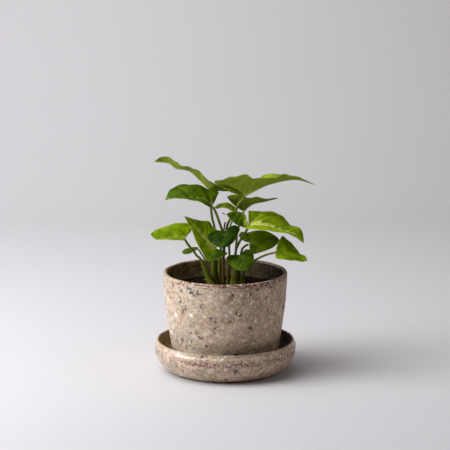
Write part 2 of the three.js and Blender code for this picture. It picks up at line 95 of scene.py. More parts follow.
# Each blade is two half blades that meet on the midrib, which runs from the stalk's end to
# the tip. A half is bounded by its lobe, from the stalk's end round behind it, and then by
# its margin, forward beside the midrib to the tip. Left and right are seen from above,
# looking towards the tip. A stalk's route runs from its foot in the soil up to its blade.
LEAVES = {
    "top_left": dict(
        midrib=[
            (-16, 16, 182), (-25.5, 18, 191), (-34.5, 20, 199), (-41.5, 21, 201), (-49.5, 22, 202),
            (-57.5, 23, 207), (-72, 24, 208),
        ],
        left_lobe=[(-10.5, 11, 184), (-2.5, 9, 183), (6, 8, 181.5), (-0.5, 5, 185), (-8.5, 4, 188.5)],
        left_margin=[
            (-14.5, 5, 192.5), (-21.5, 6, 196.5), (-26, 8, 201), (-34.5, 11, 204.5), (-43.5, 12, 206),
            (-49, 14, 209.5), (-55.5, 16, 213.5), (-64.5, 20, 213.5),
        ],
        right_lobe=[(-13, 21, 182), (-8.5, 24, 182), (-12.5, 27, 184)],
        right_margin=[
            (-17.5, 29, 187.5), (-26.5, 31, 194.5), (-35.5, 32, 199.5), (-43.5, 32, 201.5), (-52, 31, 206),
            (-63, 28, 210.5),
        ],
        stalk=[
            (-10.5, 9, 74), (-10.5, 9, 100), (-10, 10, 125.5), (-11, 10, 143.5), (-13, 11, 151.5),
            (-14.5, 15, 162.5), (-15, 17, 171), (-16, 16, 181),
        ],
        thin=1.25, thick=2.4,
    ),
    "top_right": dict(
        midrib=[
            (19, 2, 177.5), (29.5, 0, 183.5), (42, -2, 189.5), (58.5, -4, 194), (72.5, -5, 195),
            (89, -6, 190),
        ],
        left_lobe=[(14.5, 7, 182), (4.5, 13, 184), (-6.5, 17, 187), (2.5, 22, 189)],
        left_margin=[
            (15, 24, 191), (26, 24, 190), (37, 22, 192.5), (46, 18, 197), (55, 12, 196), (66.5, 5, 197),
        ],
        right_lobe=[(10.5, 0, 183.5), (0.5, -3, 186.5), (-11, -4, 192), (-1.5, -10, 196.5)],
        right_margin=[
            (12, -14, 200), (20.5, -17, 201.5), (28.5, -17, 198.5), (39, -15, 198.5), (51, -13, 199.5),
            (63, -11, 201), (76.5, -8, 196.5),
        ],
        stalk=[
            (-3, 11, 74), (-2.5, 11, 100), (-0.5, 10, 129.5), (2, 8, 145.5), (5, 7, 152.5), (10, 5, 160.5),
            (13.5, 3, 169), (17, 2, 173), (19, 2, 176),
        ],
        thin=1.3, thick=2.4,
    ),
    "upper_left": dict(
        midrib=[
            (-13.5, 0, 168), (-21, -2, 173.5), (-31, -4, 175.5), (-43, -5, 177), (-53, -6, 176.5),
            (-60, -6, 174.5),
        ],
        left_lobe=[(-13.5, -5, 168), (-15, -12, 168.5)],
        left_margin=[
            (-19, -18, 171.5), (-26, -20, 175), (-35, -20, 176.5), (-45, -16, 177.5), (-53, -11, 177),
        ],
        right_lobe=[(-12, 4, 170.5), (-8.5, 8, 177), (-6.5, 11, 180.5), (-12.5, 12, 182)],
        right_margin=[
            (-18, 12, 182.5), (-24.5, 13, 185.5), (-34.5, 12, 187.5), (-44.5, 10, 187), (-51.5, 6, 185),
            (-57, 0, 180.5),
        ],
        stalk=[
            (-6.5, 5.5, 74), (-6, 5.5, 100), (-4.5, 4, 123.5), (-3, 3, 139), (-5, 2, 147.5),
            (-10.5, 0, 163), (-13.5, 0, 166.5),
        ],
        thin=1.3, thick=2.2,
    ),
    "little_arched": dict(
        midrib=[(12, 11, 158), (5.5, 11, 163.5), (-0.5, 12, 165.5), (-6.5, 13, 165), (-11, 13, 163.5)],
        left_lobe=[(10, 9, 159)],
        left_margin=[(6.5, 6, 161), (1.5, 6, 163.5), (-3.5, 7, 164), (-8, 9, 162.5)],
        right_lobe=[(11.5, 14, 161)],
        right_margin=[(9.5, 16, 163.5), (5, 17, 166.5), (0.5, 18, 167.5), (-6, 17, 166.5)],
        stalk=[
            (3, 13.5, 74), (3.5, 13.5, 100), (4.5, 14.5, 129.5), (5, 14, 144), (8.5, 13, 151.5),
            (12, 11, 156.5),
        ],
        thin=0.85, thick=1.3,
    ),
    "upper_right": dict(
        midrib=[(18.5, 14, 159.5), (22.5, 15, 163.5), (29, 16, 167), (39, 18, 168.5), (53.5, 20, 171.5)],
        left_lobe=[(18.5, 20, 162), (15, 25, 165.5), (12, 27, 168.5), (15, 28, 169.5)],
        left_margin=[(21, 28, 169), (27, 27, 169.5), (35, 25, 169.5), (43, 23, 170.5)],
        right_lobe=[(16.5, 11, 163), (10, 8, 169), (2, 6, 174.5), (5, 5, 177.5), (10.5, 4.5, 178)],
        right_margin=[
            (17.5, 5.5, 176.5), (24.5, 6.5, 174.5), (33, 9, 174.5), (41, 13, 173), (48, 17, 172.5),
        ],
        stalk=[
            (8, 10, 74), (8.5, 10, 100), (11, 12, 124), (12, 13, 137), (14.5, 14, 147), (17, 14, 155),
            (18.5, 14, 158.5),
        ],
        thin=1.15, thick=1.9,
    ),
    "right": dict(
        midrib=[
            (23.5, -8, 148.5), (30.5, -9, 150), (39.5, -10, 149.5), (48.5, -11, 147), (58.5, -12, 144),
            (67.5, -13, 141.5), (78, -14, 132.5),
        ],
        left_lobe=[(27, -2, 152.5), (26, 4, 156.5), (23.5, 9, 160.5)],
        left_margin=[
            (27.5, 10, 160), (37, 11, 160), (46.5, 10, 160.5), (54, 8, 157), (62, 4, 151), (65.5, 1, 148),
            (71.5, -2, 147), (76.5, -7, 143.5), (78, -11, 137),
        ],
        right_lobe=[
            (22, -9, 152.5), (20.5, -6, 158.5), (15.5, -4, 162), (7.5, -3, 162.5), (1.5, -5, 160),
            (5, -9, 156), (10, -12, 151.5),
        ],
        right_margin=[
            (18.5, -15, 148), (26.5, -19, 148), (36.5, -23, 147), (46, -25, 146), (56, -25, 145),
            (65, -23, 142.5), (72.5, -19, 137),
        ],
        stalk=[
            (8.5, 4, 74), (9, 3.5, 100), (10.5, 0, 120.5), (13, -3, 129), (17, -6, 137), (20.5, -8, 143),
            (23, -8.5, 147.5),
        ],
        thin=1.25, thick=2.5,
    ),
    "lower_right": dict(
        midrib=[(24.5, 2, 130), (33, 2, 131.5), (43, 2, 132), (55, 3, 131)],
        left_lobe=[(20, 5, 131.5), (15.5, 7, 132.5), (13.5, 8.5, 136), (16.5, 11, 139)],
        left_margin=[(22, 13, 138), (30, 13, 139.5), (38, 12, 140), (45, 10, 138.5), (51.5, 7, 134.5)],
        right_lobe=[(24, -2, 126), (25.5, -6, 121.5)],
        right_margin=[(28.5, -8, 120), (34.5, -10, 122), (41.5, -9, 124), (48.5, -5, 126.5)],
        stalk=[
            (14, 4, 74), (14, 4, 96), (14.5, 3, 106), (16.5, 1.5, 121.5), (19.5, 1, 126), (23.5, 1.5, 128),
        ],
        thin=1.15, thick=1.9,
    ),
    "far_right": dict(
        midrib=[(51, -14, 124), (59.5, -16, 122.5), (70.5, -18, 119), (81.5, -20, 116)],
        left_lobe=[(52.5, -9, 127), (54.5, -4, 132.5)],
        left_margin=[
            (57.5, -1, 137), (62, -2, 133.5), (66.5, -4, 130), (72, -8, 124.5), (74.5, -12, 121.5),
            (79.5, -17, 120),
        ],
        right_lobe=[(50, -17, 122)],
        right_margin=[(50, -20, 119), (55, -23, 118), (63, -24, 117.5), (71, -23, 116.5), (77, -21, 115)],
        stalk=[
            (17.5, -1, 74), (18, -1, 98), (24, -6, 109.5), (31.5, -9, 115), (40.5, -12, 120),
            (50, -14, 123),
        ],
        thin=1.05, thick=2.2,
    ),
    "far_left": dict(
        midrib=[(-40.5, -6, 135.5), (-49, -8, 136), (-59, -10, 137), (-68, -12, 138.5), (-74.5, -12, 141)],
        left_lobe=[(-38.5, -10, 135.5)],
        left_margin=[
            (-40, -17, 136), (-48, -22, 137.5), (-57.5, -23, 137.5), (-66.5, -21, 137), (-72, -17, 139),
        ],
        right_lobe=[(-38, -2, 139), (-34, 3, 141.5), (-33.5, 8, 145.5)],
        right_margin=[
            (-38.5, 10, 147.5), (-46.5, 9, 148.5), (-55, 7, 147), (-63.5, 3, 145), (-70.5, -4, 143.5),
        ],
        stalk=[
            (-11, -10, 74), (-11.5, -9.5, 84), (-16, -8.5, 93), (-24, -6.5, 113), (-28.5, -4.5, 117.5),
            (-32, -4, 122.5), (-36.5, -5, 128), (-40.5, -6, 134.5),
        ],
        thin=1.2, thick=2.6, wide=1.6, clasp=0.6,
    ),
    "left": dict(
        midrib=[(-11, -22, 129), (-19, -20, 136), (-27.5, -17, 146), (-35, -13, 153.5), (-41, -10, 159)],
        left_lobe=[(-6, -24, 128), (2, -27, 124.5), (-4.5, -29, 121), (-10.5, -30, 118.5)],
        left_margin=[
            (-17.5, -29, 117.5), (-22, -28, 124.5), (-26.5, -27, 132), (-30, -25, 139.5),
            (-33.5, -21, 147), (-37.5, -15, 153.5),
        ],
        right_lobe=[(-6.5, -20, 130.5), (-1.5, -17, 133), (-0.5, -13, 138.5), (-5.5, -9, 143)],
        right_margin=[
            (-12, -5, 147), (-16, -2, 151.5), (-22, -2, 152.5), (-26.5, -4, 153.5), (-33.5, -7, 156.5),
        ],
        stalk=[(-7, -1, 74), (-7.5, -2, 86), (-10.5, -6, 97), (-11, -14.5, 119.5), (-11, -21.5, 128)],
        thin=1.4, thick=3.2, wide=1.6, clasp=0.9,
    ),
    "middle": dict(
        midrib=[(0.5, -12, 144.5), (-1, -22, 140.5), (-2.5, -30, 136), (-3.5, -35, 132)],
        left_lobe=[(3.5, -8, 146.5), (7.5, -5, 149), (12, -5, 148)],
        left_margin=[
            (14.5, -9, 145.5), (12.5, -16, 142), (10.5, -23, 138.5), (7, -29, 135.5), (2, -33, 133),
        ],
        right_lobe=[(-3, -13, 145), (-7.5, -15, 145), (-13.5, -18, 144.5)],
        right_margin=[(-18.5, -22, 141), (-16, -26, 136.5), (-12, -30, 134.5), (-7.5, -33, 132.5)],
        stalk=[
            (2.5, -0.5, 74), (2.5, -1, 88), (3.5, -3, 100), (4, -5, 123.5), (2, -7, 134),
            (0.5, -11.5, 143.5),
        ],
        thin=1.2, thick=2.2,
    ),
    "front": dict(
        midrib=[(15.5, -23, 121.5), (17.5, -29, 117.5), (19.5, -34, 113), (21, -38, 109)],
        left_lobe=[(17.5, -20, 124), (20, -17, 126.5), (24, -16, 126.5)],
        left_margin=[(27, -18, 124.5), (28.5, -23, 120.5), (27.5, -29, 115.5), (25, -34, 111.5)],
        right_lobe=[(12.5, -20, 120.5), (5.5, -18, 121)],
        right_margin=[(1, -20, 119), (2.5, -25, 116), (6.5, -30, 112.5), (12.5, -35, 109.5)],
        stalk=[(9.5, -6.5, 74), (9.5, -6.5, 86), (10.5, -8, 96), (13.5, -15, 113.5), (15.5, -22, 120)],
        thin=1.3, thick=3.4, wide=1.8, clasp=0.95,
    ),
    "little_left": dict(
        midrib=[(-27, 7, 122.5), (-33.5, 8, 121), (-38.5, 9, 119), (-44, 9, 118)],
        left_lobe=[(-28, 5, 121.5)],
        left_margin=[(-31.5, 4.5, 120), (-36.5, 5, 117.5), (-41, 7, 116.5)],
        right_lobe=[(-27.5, 9, 123.5)],
        right_margin=[(-31.5, 11, 123), (-37, 12, 122), (-41.5, 11.5, 120.5)],
        stalk=[
            (-14.5, 7, 74), (-14.5, 7, 85), (-16, 7, 96), (-21, 7, 111.5), (-25, 7, 118.5),
            (-27, 7, 121.5),
        ],
        thin=0.8, thick=1.4,
    ),
}
DRY_STALK = dict(
    stalk=[(-1.5, 4, 74), (-1.5, 4, 90), (-1.5, 4, 100), (-2, 7.5, 131), (-1, 7, 144.5), (0, 7, 149.5)],
    thin=0.8, thick=1.1,
)

# How each blade looks: tone runs from 0, deep green, to 1, fresh yellow green; cream is how
#  much pale feathering it has, veins how clearly its veins show, and ripple the height of its
#  wavy margin in millimetres. A lobe on the side picked for it is painted a deeper green as shade.
BLADE_LOOKS = {
    "top_left": dict(tone=0.15, cream=0.3, veins=0.4, ripple=0.9),
    "top_right": dict(tone=0.66, cream=0.35, veins=0.4, ripple=0.9),
    "upper_left": dict(tone=0.17, cream=0.28, veins=0.2, ripple=0.65),
    "little_arched": dict(tone=0.95, cream=0.2, veins=0.3, ripple=0.2),
    "upper_right": dict(tone=0.54, cream=0.2, veins=0.3, ripple=0.6),
    "right": dict(tone=0.88, cream=1.0, veins=0.5, ripple=0.75, shaded_side=-1, shaded_lobe=0.9),
    "lower_right": dict(tone=0.4, cream=0.1, veins=0.06, ripple=0.4),
    "far_right": dict(tone=0.8, cream=0.1, veins=0.12, ripple=0.3),
    "far_left": dict(tone=0.72, cream=0.35, veins=0.25, ripple=0.4),
    "left": dict(tone=0.56, cream=0.42, veins=0.3, ripple=0.5, shaded_side=1, shaded_lobe=0.9),
    "middle": dict(tone=0.0, cream=0.05, veins=0.03, ripple=0.4),
    "front": dict(tone=0.13, cream=0.05, veins=0.03, ripple=0.4),
    "little_left": dict(tone=0.25, cream=0.1, veins=0.2, ripple=0.1),
}

# Lobes that end in a dried thread: the blade, the lobe, and where the thread's points lie
# from the lobe's tip, starting with the little knob at its far end.
DRY_TIPS = [
    ("right", "right_lobe", [(-4.3, -0.3, 1.2), (-3.2, -0.2, 0.7), (-1.5, 0, -0.2)]),
    ("top_left", "left_lobe", [(1.3, 0, -1.7), (0.8, 0, -1.1)]),
]
DRY_TIP = dict(thin=0.28, thick=0.75, clasp=0.5)

# The broken rust line lies at a height and reaches up and down, both in metres. Chips are
#  the dark flecks below it, then comes how strongly the inside's staining and painted shade
#  show, and rough is the least roughness. A lip takes a share of that staining and painted shade.
WARE_LOOKS = {
    "pot": dict(Rust_height=0.0992, Rust_reach=0.0038, Chips=0.9, stain=1.0, rough=0.45),
    "saucer": dict(Rust_height=0.0217, Rust_reach=0.0034, Chips=0.35, stain=0.85, rough=0.15),
}
# the lips' shares of the inside's staining and painted shade
POT_LIP_STAIN_AND_SHADE = 0.34
SAUCER_LIP_STAIN_AND_SHADE = 0.42

# Where each light stands and what it faces, its width and height, in metres, and its watts.
LIGHTS = {
    "window": ((-0.98, -0.38, 1.25), (0, 0, 0.08), 1.1, 1.1, 18.8),
    "low window": ((-0.85, -0.22, 0.42), (0, 0, 0.06), 0.5, 0.55, 6.2),
    "overhead panel": ((-0.3, 0.15, 1.6), (0, 0, 0), 1.2, 1.2, 6.6),
    "right panel": ((0.9, -0.3, 0.6), (0.1, 0, 0), 0.6, 0.6, 1.0),
    "wall panel": ((-0.7, 0.2, 1.2), (-0.3, 1.25, 0.3), 1.2, 0.6, 8.6),
}
LIGHT_COLOUR = (0.91, 0.95, 1.0)
WORLD_COLOUR = (1.0, 0.93, 0.85, 1.0)
CAMERA_AT = (-0.0003, -1.9598, 0.5467)  # metres
CAMERA_LOOKS_DOWN = 11.5  # degrees


# ---- curves, grids and pieces ----------------------------------------------------------
def smooth(points, shares):
    """Catmull-Rom curve: the cubic through evenly timed points whose slope at each is half
    the step between its neighbours. Both ends are continued in a straight line."""
    p = np.asarray(points, float)
    p = np.vstack([2 * p[0] - p[1], p, 2 * p[-1] - p[-2]])
    t = np.clip(shares, 0, 1) * (len(p) - 3)
    k = np.minimum(t.astype(int), len(p) - 4)
    f = (t - k)[..., None]
    a, b, c, d = (p[k + step] for step in range(4))
    return b + 0.5 * f * (c - a + f * (2 * a - 5 * b + 4 * c - d + f * (3 * (b - c) + d - a)))


def slopes(points, shares, reach=0.004):
    """Unit direction of that curve, from two points a little before and after each share."""
    step = smooth(points, shares + reach) - smooth(points, shares - reach)
    return unit(step)


def unit(vectors):
    return vectors / np.maximum(np.linalg.norm(vectors, axis=-1, keepdims=True), 1e-9)


def waves(x, y, z, seed, shortest, longest, count=10):
    """Soft unevenness about -1 to 1: a sum of sine waves of random direction and phase,
    with wavelengths between the shortest and the longest."""
    rng = np.random.default_rng(seed)
    total = np.zeros(np.broadcast(x, y, z).shape)
    for _ in range(count):
        way = unit(rng.normal(size=3))
        length = rng.uniform(shortest, longest)
        phase = rng.uniform(0, 2 * math.pi)
        total += np.sin(2 * math.pi * (way[0] * x + way[1] * y + way[2] * z) / length + phase)
    return total / math.sqrt(count)


def grid_triangles(ids):
    """Two triangles for each cell of a grid of point numbers. A cell that is pinched to a
    line gives none, and one pinched at a corner gives one."""
    a, b, c, d = ids[:-1, :-1], ids[1:, :-1], ids[1:, 1:], ids[:-1, 1:]
    first = np.stack([a, b, c], -1).reshape(-1, 3)
    second = np.stack([a, c, d], -1).reshape(-1, 3)
    both = np.concatenate([first, second])
    pinched = (both == np.roll(both, 1, axis=1)).any(axis=1)
    return both[~pinched]


def new_piece(name, points, triangles, material, uvs=None, marks=None):
    """One object from arrays: points in millimetres, uvs as {map name: (u, v) per point}
    and marks as {attribute name: value per point}. Points no triangle uses are dropped."""
    used, triangles = np.unique(triangles, return_inverse=True)
    triangles = triangles.reshape(-1, 3)
    mesh = bpy.data.meshes.new(name)
    mesh.from_pydata((points[used] * MM).tolist(), [], triangles.tolist())
    mesh.shade_smooth()
    for label, uv in (uvs or {}).items():
        layer = mesh.uv_layers.new(name=label)
        layer.data.foreach_set("uv", uv[used][triangles.ravel()].astype(np.float32).ravel())
    for label, values in (marks or {}).items():
        layer = mesh.attributes.new(label, "FLOAT", "POINT")
        layer.data.foreach_set("value", values[used].astype(np.float32))
    mesh.materials.append(material)
    piece = bpy.data.objects.new(name, mesh)
    bpy.context.scene.collection.objects.link(piece)
    return piece


def hand_over(piece, node):
    """The piece rides on the object's one body and stands for a node of the frame."""
    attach(piece, "root")
    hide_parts(node)


# ---- blades ----------------------------------------------------------------------------
def half_blade(leaf, side):
    """One half of a blade, as points on a grid of rows from the midrib out to the margin.

    A point is rib + v (edge - rib) + swell 4 v (1 - v), with v from 0 to 1 closer together
    at both ends. The rows that belong to the lobe all start where the stalk ends. The flat
    place of a point is how far it lies along the midrib and out from it."""
    midrib = leaf["midrib"]
    outline = [*leaf[f"{side}_lobe"], *leaf[f"{side}_margin"], midrib[-1]]
    lobe_share = len(leaf[f"{side}_lobe"]) / (len(outline) - 1)
    ahead = np.concatenate([np.zeros(LOBE_ROWS), np.linspace(0, 1, MAIN_ROWS)])
    behind = np.concatenate([np.linspace(0, 1, LOBE_ROWS, endpoint=False), np.ones(MAIN_ROWS)])
    share = lobe_share * behind + (1 - lobe_share) * ahead
    rib = smooth(midrib, ahead)
    edge = smooth(outline, share)
    across = edge - rib
    upper = 1 if side == "left" else -1
    lift = upper * unit(np.cross(slopes(outline, share), across))
    v = 0.5 - 0.5 * np.cos(np.linspace(0, math.pi, HALF_COLUMNS + 1))
    wide = np.linalg.norm(across, axis=1)
    rise = BLADE_SWELL * wide[:, None] * 4 * v * (1 - v)
    points = rib[:, None] + across[:, None] * v[:, None] + lift[:, None] * rise[..., None]
    run = np.concatenate([[0], np.cumsum(np.linalg.norm(np.diff(rib, axis=0), axis=1))])
    tangent = slopes(midrib, ahead)
    offset = points - rib[:, None]
    forward = (offset * tangent[:, None]).sum(-1)
    sideways = np.linalg.norm(offset - forward[..., None] * tangent[:, None], axis=-1)
    flat = np.stack([run[:, None] + forward, sideways], -1)
    shares = np.stack(np.broadcast_arrays(ahead[:, None], v[None]), -1)
    return points, flat, shares


def blade_piece(name, leaf, look, material):
    """A whole blade: a closed thin shell about the sheet that its two halves make.

    The sheet is puckered between its side veins and wavy near its margin. The shell is
    thickest at the midrib, where a keel that continues the stalk runs out towards the tip,
    and closes to nothing at the margin. Triangles whose three corners lie on the closed
    margin are left out, and two more close the notch where the stalk ends."""
    halves = {side: half_blade(leaf, side) for side in ("left", "right")}
    rows, middle = LOBE_ROWS + MAIN_ROWS, HALF_COLUMNS

    def joined(part, mirror=1):
        """Right margin, midrib, left margin, side by side in one grid."""
        right, left = halves["right"][part], halves["left"][part]
        return np.concatenate([right[:, :0:-1] * mirror, left], axis=1)

    sheet, flat, share = joined(0), joined(1, [1, -1]), joined(2, [1, -1])
    columns = 2 * middle + 1
    ids = np.arange(rows * columns).reshape(rows, columns)
    ids[:LOBE_ROWS, middle] = ids[LOBE_ROWS, middle]
    ids[-1] = ids[-1, middle]
    along, out = flat[..., 0], np.abs(flat[..., 1])
    v, ahead = np.abs(share[..., 1]), share[..., 0]

    def facing(points):
        """Unit normal at each point: the sum of the normals of the triangles around it."""
        flat_points = points.reshape(-1, 3)
        triangles = grid_triangles(ids)
        a, b, c = (flat_points[triangles[:, k]] for k in range(3))
        total = np.zeros_like(flat_points)
        for k in range(3):
            np.add.at(total, triangles[:, k], np.cross(b - a, c - a))
        return unit(total)[ids]

    normal = facing(sheet)
    order = (along - VEIN_SLANT * out - VEIN_BEND * out**2) / VEIN_SPACING
    pucker = 0.5 - 0.5 * np.cos(2 * math.pi * order)
    width = np.maximum(out.max(axis=1, keepdims=True), 1)
    calm = np.clip(width / 8, 0, 1) * np.clip(out / 2, 0, 1) * (1 - v**4)
    seed = sorted(LEAVES).index(name)
    ripple = look["ripple"] * waves(*np.moveaxis(sheet, -1, 0), seed, 9, 18) * v**2
    ripple *= np.clip(4 * (1 - ahead), 0, 1)
    sheet = sheet + normal * (PUCKER * calm * pucker + ripple)[..., None]
    normal = facing(sheet)
    from_rib = np.where(along < 0, np.hypot(along, out), out)
    keel = KEEL * leaf["thin"] * (1 - ahead) ** 0.6 * np.exp(-((from_rib / KEEL_WIDE) ** 2))
    groove = GROOVE * (1 - ahead) * np.exp(-((from_rib / GROOVE_WIDE) ** 2))
    body = BLADE_THICK * np.sqrt(np.clip(1 - v**8, 0, 1))
    end = np.clip(np.minimum(np.arange(rows), np.arange(rows)[::-1])[:, None] / 3, 0, 1)
    body, keel, groove = body * np.sqrt(end), keel * end, groove * end
    top = sheet + normal * (body / 2 - groove)[..., None]
    under = sheet - normal * (body / 2 + keel)[..., None]
    closed = (v > 0.9999) | (end == 0)
    closed[:, middle] = False
    closed[-1, middle] = True
    top[closed] = sheet[closed]
    count = ids.size
    points = np.concatenate([top.reshape(-1, 3), under.reshape(-1, 3)])
    above = grid_triangles(ids)
    shut = closed.ravel()[above]
    above, shut = above[~shut.all(axis=1)], shut[~shut.all(axis=1)]
    below = np.where(shut, above, above + count)[:, ::-1]
    before, notch, after = ids[0, middle - 1 : middle + 2]
    ends = [[before, notch, notch + count], [notch, after, notch + count]]
    triangles = np.concatenate([above, below, ends])
    marks = {"underside": np.repeat([0.0, 1.0], count)}
    flat, share = (np.tile(values.reshape(count, 2), (2, 1)) for values in (flat, share))
    uvs = {"flat": flat / FLAT_UNIT, "share": share}
    piece = new_piece(f"{name}_leaf", points, triangles, material, uvs, marks)
    hand_over(piece, f"{name}_blade")


# ---- stalks ----------------------------------------------------------------------------
def stalk_piece(name, leaf, material, node):
    """A leaf stalk: rings carried along its route.

    Each ring is an ellipse. Its size falls from the foot of the sheath, as (1 - u / clasp) to
    the power STALK_TAPER, to the thin stalk above, and the sheath is `wide` times as wide as
    it is thick. A groove runs up the front, deep in the sheath, where its two edges clasp the
    shoot, and shallow above it."""
    rings, sides = STALK_RINGS, STALK_SIDES
    u = np.linspace(0, 1, rings)
    route = np.array(leaf["stalk"], float)
    steps = np.linalg.norm(np.diff(smooth(route, np.linspace(0, 1, 400)), axis=0), axis=1)
    lengths = np.concatenate([[0], np.cumsum(steps)])
    share = np.interp(u * lengths[-1], lengths, np.linspace(0, 1, 400))
    centre, tangent = smooth(route, share), slopes(route, share)
    first = unit(np.cross(tangent, [0.0, 1.0, 0.0]))
    second = np.cross(tangent, first)
    thin, thick, clasp = leaf["thin"], leaf["thick"], leaf.get("clasp", CLASP)
    sheath = np.clip(1 - u / clasp, 0, 1)[:, None] ** STALK_TAPER
    across = thin + (thick * leaf.get("wide", 1) - thin) * sheath
    deep = thin + (thick - thin) * sheath
    turn = np.linspace(0, 2 * math.pi, sides, endpoint=False)
    ridges = 0.03 * np.cos(7 * turn + 1) + 0.02 * np.cos(11 * turn)
    apart = (turn - 1.5 * math.pi + 0.5 + math.pi) % (2 * math.pi) - math.pi
    groove = (0.1 + 0.28 * sheath) * np.exp(-((apart / (0.28 + 0.1 * (1 - sheath))) ** 2))
    shape = 1 - groove + ridges * sheath
    ring = (across * np.cos(turn))[..., None] * first[:, None]
    ring = ring + (deep * np.sin(turn))[..., None] * second[:, None]
    points = centre[:, None] + shape[..., None] * ring
    ids = np.arange(rings * sides).reshape(rings, sides)
    ids = np.concatenate([ids, ids[:, :1]], axis=1)
    foot, head = rings * sides, rings * sides + 1
    caps = [
        grid_triangles(np.stack([np.full(sides + 1, foot), ids[0]])),
        grid_triangles(np.stack([ids[-1], np.full(sides + 1, head)])),
    ]
    points = np.concatenate([points.reshape(-1, 3), centre[:1], centre[-1:]])
    triangles = np.concatenate([grid_triangles(ids)[:, ::-1], *[cap[:, ::-1] for cap in caps]])
    height = np.concatenate([np.repeat(u, sides), [0, 1]])
    piece = new_piece(name, points, triangles, material, marks={"height": height})
    hand_over(piece, node)


# ---- pot, saucer and soil --------------------------------------------------------------
def arc(centre, wide, high, start, end, steps):
    """Points centre + (wide cos t, high sin t), with t from start to end in degrees: 0 is
    straight out and 90 straight up."""
    t = np.radians(np.linspace(start, end, steps + 1))
    return np.stack([centre[0] + wide * np.cos(t), centre[1] + high * np.sin(t)], -1)


def line(*corners, step=1.2):
    """Straight runs between corners, with a point at most every step."""
    runs = [np.array(corners[:1], float)]
    for a, b in zip(corners[:-1], corners[1:]):
        count = max(1, math.ceil(math.dist(a, b) / step))
        runs.append(np.linspace(a, b, count + 1)[1:])
    return np.concatenate(runs)


def pot_side(inset, top):
    """The pot's side at a depth inside its outer face: a quarter circle round the foot, then
    belly to rim as rim - (rim - belly) s to the power POT_EASING, with s the share of the
    height left to go."""
    corner_top = POT_STANDS_AT + POT_CORNER
    corner = arc((POT_FOOT, corner_top), POT_CORNER - inset, POT_CORNER - inset, -90, 0, 28)
    z = np.linspace(corner_top, top, 64)[1:]
    lip_at = POT_TOP - POT_LIP
    left = np.clip((lip_at - z) / (lip_at - corner_top), 0, 1)
    side = np.stack([POT_RIM - (POT_RIM - POT_BELLY) * left**POT_EASING - inset, z], -1)
    return np.concatenate([corner, side])


def stain_and_shade_marks(outside, inside, lip_share):
    """How far the dark staining and painted shade cover each point: 0 outside, the given share on
    the lip's outer half, twice that on its inner half, and 1 inside."""
    parts = [*outside, *inside]
    shares = [0.0] * (len(outside) - 1) + [lip_share, 2 * lip_share] + [1.0] * (len(inside) - 1)
    return np.concatenate([np.full(len(part), share) for part, share in zip(parts, shares)])


def pot_profile():
    """Outer side, rounded lip, inner side, floor and drain hole, and each point's share of the
    staining and painted shade.
    """
    lip_at = POT_TOP - POT_LIP
    inner_lip = POT_RIM - POT_WALL + POT_LIP
    floor_at = POT_STANDS_AT + POT_WALL
    outside = [
        line((POT_DRAIN, POT_STANDS_AT), (POT_FOOT, POT_STANDS_AT), step=3)[:-1],
        pot_side(0, lip_at),
        arc((POT_RIM - POT_LIP, lip_at), POT_LIP, POT_LIP, 0, 90, 6)[1:],
    ]
    inside = [
        arc((inner_lip, lip_at), POT_LIP, POT_LIP, 90, 180, 6),
        pot_side(POT_WALL, lip_at)[::-1][1:],
        line((POT_FOOT, floor_at), (POT_DRAIN, floor_at), step=3)[1:],
        line((POT_DRAIN, floor_at), (POT_DRAIN, POT_STANDS_AT))[1:-1],
    ]
    return np.concatenate([*outside, *inside]), stain_and_shade_marks(outside, inside, POT_LIP_STAIN_AND_SHADE)


def saucer_profile():
    """Flat foot, an elliptical bowl up to the shoulder, a rim that leans in, a rounded lip,
    and an elliptical inside down to the flat floor, and each point's share of the staining and
    painted shade."""
    lip_at = SAUCER_HEIGHT - SAUCER_LIP
    edge = SAUCER_WIDE - SAUCER_LEANS_IN
    hollow_wide = edge - 2 * SAUCER_LIP - SAUCER_FLOOR_WIDE
    foot, floor_edge = (SAUCER_FOOT, 0), (SAUCER_FLOOR_WIDE, SAUCER_FLOOR)
    bowl_wide = SAUCER_WIDE - SAUCER_FOOT
    bowl = arc((SAUCER_FOOT, SAUCER_SHOULDER), bowl_wide, SAUCER_SHOULDER, -90, 0, 44)
    rim = arc((edge - SAUCER_LIP, lip_at), SAUCER_LIP, SAUCER_LIP, 20, 160, 9)
    lean = [bowl[-1], bowl[-1] + [0, 2.2], rim[0] + [0.45, -2.2], rim[0]]
    wall = smooth(lean, np.linspace(0, 1, 9))
    inner = arc((SAUCER_FLOOR_WIDE, lip_at), hollow_wide, lip_at - SAUCER_FLOOR, 0, -90, 44)
    outside = [line((0, 0), foot, step=3)[:-1], bowl, wall[1:-1], rim[:5]]
    inside = [rim[5:], inner, line(floor_edge, (0, SAUCER_FLOOR), step=3)[1:]]
    return np.concatenate([*outside, *inside]), stain_and_shade_marks(outside, inside, SAUCER_LIP_STAIN_AND_SHADE)


def turned_points(profile, steps):
    """A profile of (radius, height) carried round the upright axis: x = r cos t, y = r sin t."""
    t = np.linspace(0, 2 * math.pi, steps, endpoint=False)
    r, z = profile[:, 0, None], profile[:, 1, None]
    return np.stack(np.broadcast_arrays(r * np.cos(t), r * np.sin(t), z), -1)


def turned_ids(rows, steps, closed):
    """Point numbers of a turned surface. An open profile starts and ends on the axis, so
    each of its end rows is one point; a closed one joins its last row to its first."""
    ids = np.arange(rows * steps).reshape(rows, steps)
    if closed:
        ids = np.concatenate([ids, ids[:1]])
    else:
        ids[0], ids[-1] = ids[0, 0], ids[-1, 0]
    return np.concatenate([ids, ids[:, :1]], axis=1)


